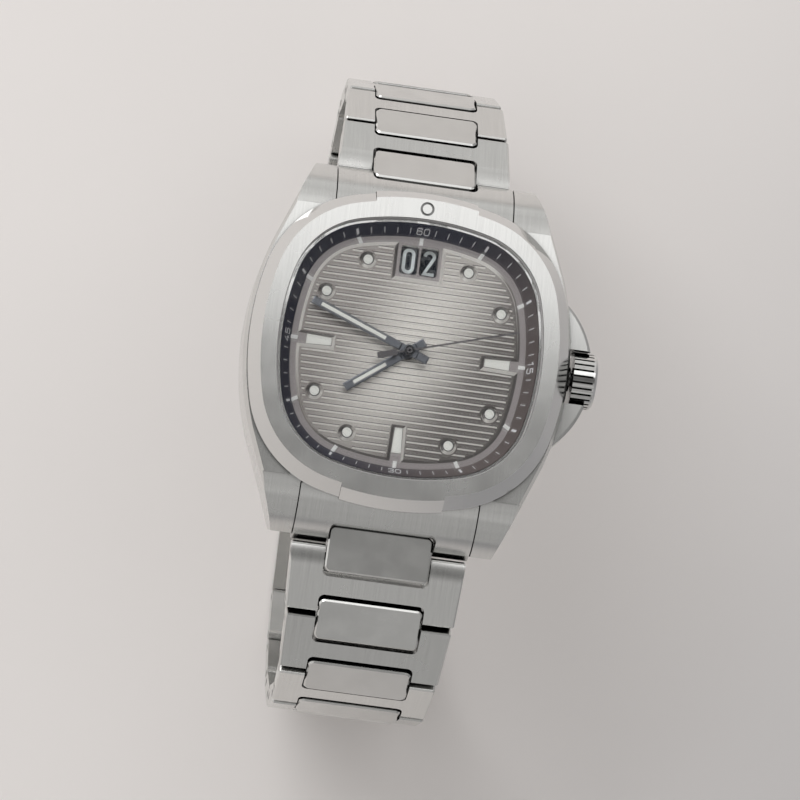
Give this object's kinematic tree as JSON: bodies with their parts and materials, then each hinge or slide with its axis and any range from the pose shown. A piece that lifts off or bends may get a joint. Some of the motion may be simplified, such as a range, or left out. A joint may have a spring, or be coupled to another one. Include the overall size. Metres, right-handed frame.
{
  "type": "wristwatch",
  "caption": "Steel wristwatch with a cushion case, ribbed dial, large date at 12 and an H-link bracelet closed by a butterfly clasp.",
  "frame": {"origin": "on the clasp's resting face, under the centre of the dial", "axes": "+X towards 3 o'clock and the crown, +Y towards 12 o'clock, +Z out of the dial"},
  "size_m": [0.0435, 0.0822, 0.0542],
  "materials": {
    "brushed_case_steel": "satin brushed",
    "polished_steel": "polished",
    "dial_finish": "ribbed, light in the middle and grey at the edge",
    "ring_print": "satin dark ring",
    "sapphire": "clear",
    "gasket_rubber": "matt",
    "luminous_compound": "pale, matt",
    "movement_metal": "plated, satin",
    "hand_metal": "polished",
    "date_disc_print": "matt black"
  },
  "bodies": {
    "head": {"mid_case": "brushed_case_steel", "end_link_12": "brushed_case_steel", "end_link_6": "brushed_case_steel", "bezel": "brushed_case_steel", "crystal": "sapphire", "gaskets": "gasket_rubber", "chapter_ring": "ring_print", "dial": "dial_finish", "hour_markers": "luminous_compound", "movement_ring": "movement_metal", "main_plate": "movement_metal", "bridges": "movement_metal", "caseback": "brushed_case_steel", "caseback_window": "sapphire", "caseback_screws": "polished_steel"},
    "winding_stem": {"winding_stem": "brushed_case_steel"},
    "crown": {"crown": "brushed_case_steel"},
    "hour_hand": {"hour_hand": "hand_metal"},
    "minute_hand": {"minute_hand": "hand_metal"},
    "seconds_hand": {"seconds_hand": "hand_metal"},
    "date_disc_units": {"date_disc_units": "date_disc_print"},
    "date_disc_tens": {"date_disc_tens": "date_disc_print"},
    "rotor": {"rotor": "movement_metal"},
    "balance_wheel": {"balance_wheel": "movement_metal"},
    "mainspring_barrel": {"mainspring_barrel": "movement_metal"},
    "clasp_cover_12": {"clasp_cover_12": "brushed_case_steel"},
    "clasp_arm_12": {"clasp_arm_12": "brushed_case_steel"},
    "clasp_cover_6": {"clasp_cover_6": "brushed_case_steel"},
    "clasp_arm_6": {"clasp_arm_6": "brushed_case_steel"},
    "clasp_plate": {"clasp_plate": "brushed_case_steel"},
    "pusher_right": {"pusher_right": "brushed_case_steel"},
    "pusher_left": {"pusher_left": "brushed_case_steel"},
    "centre_link_12_1": {"centre_link_12_1": "polished_steel"},
    "h_link_12_1": {"h_link_12_1": "brushed_case_steel"},
    "centre_link_12_2": {"centre_link_12_2": "polished_steel"},
    "h_link_12_2": {"h_link_12_2": "brushed_case_steel"},
    "centre_link_12_3": {"centre_link_12_3": "polished_steel"},
    "h_link_12_3": {"h_link_12_3": "brushed_case_steel"},
    "centre_link_12_4": {"centre_link_12_4": "polished_steel"},
    "h_link_12_4": {"h_link_12_4": "brushed_case_steel"},
    "centre_link_12_5": {"centre_link_12_5": "polished_steel"},
    "h_link_12_5": {"h_link_12_5": "brushed_case_steel"},
    "centre_link_12_6": {"centre_link_12_6": "polished_steel"},
    "h_link_12_6": {"h_link_12_6": "brushed_case_steel"},
    "centre_link_12_7": {"centre_link_12_7": "polished_steel"},
    "h_link_12_7": {"h_link_12_7": "brushed_case_steel"},
    "h_link_6_7": {"h_link_6_7": "brushed_case_steel"},
    "centre_link_6_7": {"centre_link_6_7": "polished_steel"},
    "h_link_6_6": {"h_link_6_6": "brushed_case_steel"},
    "centre_link_6_6": {"centre_link_6_6": "polished_steel"},
    "h_link_6_5": {"h_link_6_5": "brushed_case_steel"},
    "centre_link_6_5": {"centre_link_6_5": "polished_steel"},
    "h_link_6_4": {"h_link_6_4": "brushed_case_steel"},
    "centre_link_6_4": {"centre_link_6_4": "polished_steel"},
    "h_link_6_3": {"h_link_6_3": "brushed_case_steel"},
    "centre_link_6_3": {"centre_link_6_3": "polished_steel"},
    "h_link_6_2": {"h_link_6_2": "brushed_case_steel"},
    "centre_link_6_2": {"centre_link_6_2": "polished_steel"},
    "h_link_6_1": {"h_link_6_1": "brushed_case_steel"},
    "centre_link_6_1": {"centre_link_6_1": "polished_steel"}
  },
  "joints": [
    {"name": "crown_pull", "type": "slide", "parent": "head", "child": "winding_stem", "axis": [1, 0, 0], "range_m": [0, 0.0014]},
    {"name": "crown_turn", "type": "hinge", "parent": "winding_stem", "child": "crown", "pos_m": [0.02135, 0, 0.04751], "axis": [1, 0, 0], "continuous": true},
    {"name": "seconds_hand_turn", "type": "hinge", "parent": "head", "child": "seconds_hand", "pos_m": [0, 0, 0.05051], "axis": [0, 0, -1], "continuous": true},
    {"name": "minute_hand_turn", "type": "hinge", "parent": "head", "child": "minute_hand", "pos_m": [0, 0, 0.05051], "axis": [0, 0, -1], "continuous": true},
    {"name": "hour_hand_turn", "type": "hinge", "parent": "head", "child": "hour_hand", "pos_m": [0, 0, 0.05051], "axis": [0, 0, -1], "continuous": true},
    {"name": "date_units_turn", "type": "hinge", "parent": "head", "child": "date_disc_units", "pos_m": [0, 0, 0.05051], "axis": [0, 0, -1], "continuous": true},
    {"name": "date_tens_turn", "type": "hinge", "parent": "head", "child": "date_disc_tens", "pos_m": [0, 0, 0.05051], "axis": [0, 0, -1], "continuous": true},
    {"name": "rotor_turn", "type": "hinge", "parent": "head", "child": "rotor", "pos_m": [0, 0, 0.04566], "axis": [0, 0, -1], "continuous": true},
    {"name": "balance_swing", "type": "hinge", "parent": "head", "child": "balance_wheel", "pos_m": [0.0056, -0.0054, 0.04636], "axis": [0, 0, 1], "range_deg": [-135, 135], "stiffness_Nm_per_rad": 0.000001},
    {"name": "barrel_turn", "type": "hinge", "parent": "head", "child": "mainspring_barrel", "pos_m": [-0.0062, -0.0035, 0.04636], "axis": [0, 0, 1], "continuous": true},
    {"name": "pusher_right_press", "type": "slide", "parent": "clasp_plate", "child": "pusher_right", "axis": [-1, 0, 0], "range_m": [0, 0.0006], "stiffness_N_per_m": 800, "springref_m": -0.0002},
    {"name": "pusher_left_press", "type": "slide", "parent": "clasp_plate", "child": "pusher_left", "axis": [1, 0, 0], "range_m": [0, 0.0006], "stiffness_N_per_m": 800, "springref_m": -0.0002},
    {"name": "clasp_arm_12_fold", "type": "hinge", "parent": "clasp_cover_12", "child": "clasp_arm_12", "pos_m": [0, 0.00095, 0.00228], "axis": [1, 0, 0], "range_deg": [0, 155]},
    {"name": "clasp_plate_fold", "type": "hinge", "parent": "clasp_arm_12", "child": "clasp_plate", "pos_m": [0, 0.01447, 0.00228], "axis": [1, 0, 0], "range_deg": [-155, 0]},
    {"name": "clasp_arm_6_fold", "type": "hinge", "parent": "clasp_plate", "child": "clasp_arm_6", "pos_m": [0, -0.02058, 0.00228], "axis": [1, 0, 0], "range_deg": [-155, 0]},
    {"name": "clasp_cover_6_fold", "type": "hinge", "parent": "clasp_arm_6", "child": "clasp_cover_6", "pos_m": [0, -0.00705, 0.00228], "axis": [1, 0, 0], "range_deg": [0, 155]},
    {"name": "centre_link_12_1_pivot", "type": "hinge", "parent": "head", "child": "centre_link_12_1", "pos_m": [0, 0.0225, 0.04356], "axis": [1, 0, 0], "range_deg": [0, 44]},
    {"name": "h_link_12_1_pivot", "type": "hinge", "parent": "centre_link_12_1", "child": "h_link_12_1", "pos_m": [0, 0.02437, 0.04175], "axis": [1, 0, 0], "range_deg": [0, 1.6]},
    {"name": "centre_link_12_2_pivot", "type": "hinge", "parent": "h_link_12_1", "child": "centre_link_12_2", "pos_m": [0, 0.02902, 0.03837], "axis": [1, 0, 0], "range_deg": [0, 7]},
    {"name": "h_link_12_2_pivot", "type": "hinge", "parent": "centre_link_12_2", "child": "h_link_12_2", "pos_m": [0, 0.03092, 0.0366], "axis": [1, 0, 0], "range_deg": [0, 7]},
    {"name": "centre_link_12_3_pivot", "type": "hinge", "parent": "h_link_12_2", "child": "centre_link_12_3", "pos_m": [0, 0.03462, 0.0322], "axis": [1, 0, 0], "range_deg": [0, 10]},
    {"name": "h_link_12_3_pivot", "type": "hinge", "parent": "centre_link_12_3", "child": "h_link_12_3", "pos_m": [0, 0.03592, 0.02994], "axis": [1, 0, 0], "range_deg": [0, 10]},
    {"name": "centre_link_12_4_pivot", "type": "hinge", "parent": "h_link_12_3", "child": "centre_link_12_4", "pos_m": [0, 0.03789, 0.02454], "axis": [1, 0, 0], "range_deg": [0, 11]},
    {"name": "h_link_12_4_pivot", "type": "hinge", "parent": "centre_link_12_4", "child": "h_link_12_4", "pos_m": [0, 0.03826, 0.02197], "axis": [1, 0, 0], "range_deg": [0, 11]},
    {"name": "centre_link_12_5_pivot", "type": "hinge", "parent": "h_link_12_4", "child": "centre_link_12_5", "pos_m": [0, 0.03793, 0.01623], "axis": [1, 0, 0], "range_deg": [0, 14]},
    {"name": "h_link_12_5_pivot", "type": "hinge", "parent": "centre_link_12_5", "child": "h_link_12_5", "pos_m": [0, 0.03712, 0.01376], "axis": [1, 0, 0], "range_deg": [0, 14]},
    {"name": "centre_link_12_6_pivot", "type": "hinge", "parent": "h_link_12_5", "child": "centre_link_12_6", "pos_m": [0, 0.03399, 0.00894], "axis": [1, 0, 0], "range_deg": [0, 12]},
    {"name": "h_link_12_6_pivot", "type": "hinge", "parent": "centre_link_12_6", "child": "h_link_12_6", "pos_m": [0, 0.03213, 0.00712], "axis": [1, 0, 0], "range_deg": [0, 12]},
    {"name": "centre_link_12_7_pivot", "type": "hinge", "parent": "h_link_12_6", "child": "centre_link_12_7", "pos_m": [0, 0.02725, 0.00409], "axis": [1, 0, 0], "range_deg": [0, 7]},
    {"name": "h_link_12_7_pivot", "type": "hinge", "parent": "centre_link_12_7", "child": "h_link_12_7", "pos_m": [0, 0.02488, 0.00302], "axis": [1, 0, 0], "range_deg": [0, 7]},
    {"name": "clasp_cover_12_pivot", "type": "hinge", "parent": "h_link_12_7", "child": "clasp_cover_12", "pos_m": [0, 0.01937, 0.00136], "axis": [1, 0, 0], "range_deg": [0, 16]},
    {"name": "h_link_6_7_pivot", "type": "hinge", "parent": "clasp_cover_6", "child": "h_link_6_7", "pos_m": [0, -0.02548, 0.00135], "axis": [1, 0, 0], "range_deg": [0, 25]},
    {"name": "centre_link_6_7_pivot", "type": "hinge", "parent": "h_link_6_7", "child": "centre_link_6_7", "pos_m": [0, -0.03066, 0.00385], "axis": [1, 0, 0], "range_deg": [0, 11]},
    {"name": "h_link_6_6_pivot", "type": "hinge", "parent": "centre_link_6_7", "child": "h_link_6_6", "pos_m": [0, -0.03272, 0.00543], "axis": [1, 0, 0], "range_deg": [0, 11]},
    {"name": "centre_link_6_6_pivot", "type": "hinge", "parent": "h_link_6_6", "child": "centre_link_6_6", "pos_m": [0, -0.0365, 0.00976], "axis": [1, 0, 0], "range_deg": [0, 9]},
    {"name": "h_link_6_5_pivot", "type": "hinge", "parent": "centre_link_6_6", "child": "h_link_6_5", "pos_m": [0, -0.03785, 0.01198], "axis": [1, 0, 0], "range_deg": [0, 9]},
    {"name": "centre_link_6_5_pivot", "type": "hinge", "parent": "h_link_6_5", "child": "centre_link_6_5", "pos_m": [0, -0.03992, 0.01735], "axis": [1, 0, 0], "range_deg": [0, 9]},
    {"name": "h_link_6_4_pivot", "type": "hinge", "parent": "centre_link_6_5", "child": "h_link_6_4", "pos_m": [0, -0.04043, 0.0199], "axis": [1, 0, 0], "range_deg": [0, 9]},
    {"name": "centre_link_6_4_pivot", "type": "hinge", "parent": "h_link_6_4", "child": "centre_link_6_4", "pos_m": [0, -0.04063, 0.02564], "axis": [1, 0, 0], "range_deg": [0, 10]},
    {"name": "h_link_6_3_pivot", "type": "hinge", "parent": "centre_link_6_4", "child": "h_link_6_3", "pos_m": [0, -0.04022, 0.02821], "axis": [1, 0, 0], "range_deg": [0, 10]},
    {"name": "centre_link_6_3_pivot", "type": "hinge", "parent": "h_link_6_3", "child": "centre_link_6_3", "pos_m": [0, -0.03825, 0.03361], "axis": [1, 0, 0], "range_deg": [0, 12]},
    {"name": "h_link_6_2_pivot", "type": "hinge", "parent": "centre_link_6_3", "child": "h_link_6_2", "pos_m": [0, -0.03683, 0.0358], "axis": [1, 0, 0], "range_deg": [0, 12]},
    {"name": "centre_link_6_2_pivot", "type": "hinge", "parent": "h_link_6_2", "child": "centre_link_6_2", "pos_m": [0, -0.0327, 0.03979], "axis": [1, 0, 0], "range_deg": [0, 12]},
    {"name": "h_link_6_1_pivot", "type": "hinge", "parent": "centre_link_6_2", "child": "h_link_6_1", "pos_m": [0, -0.03048, 0.04115], "axis": [1, 0, 0], "range_deg": [0, 12]},
    {"name": "centre_link_6_1_pivot", "type": "hinge", "parent": "h_link_6_1", "child": "centre_link_6_1", "pos_m": [0, -0.02504, 0.04302], "axis": [1, 0, 0], "range_deg": [0, 6]}
  ],
  "couplings": [
    {"joint": "minute_hand_turn", "follows": "seconds_hand_turn", "ratio": 0.016667},
    {"joint": "hour_hand_turn", "follows": "seconds_hand_turn", "ratio": 0.0013889},
    {"joint": "date_tens_turn", "follows": "date_units_turn", "ratio": 0.25},
    {"joint": "barrel_turn", "follows": "seconds_hand_turn", "ratio": -0.0020833},
    {"joint": "clasp_plate_fold", "follows": "clasp_arm_12_fold", "ratio": -1},
    {"joint": "clasp_cover_6_fold", "follows": "clasp_arm_6_fold", "ratio": -1}
  ]
}
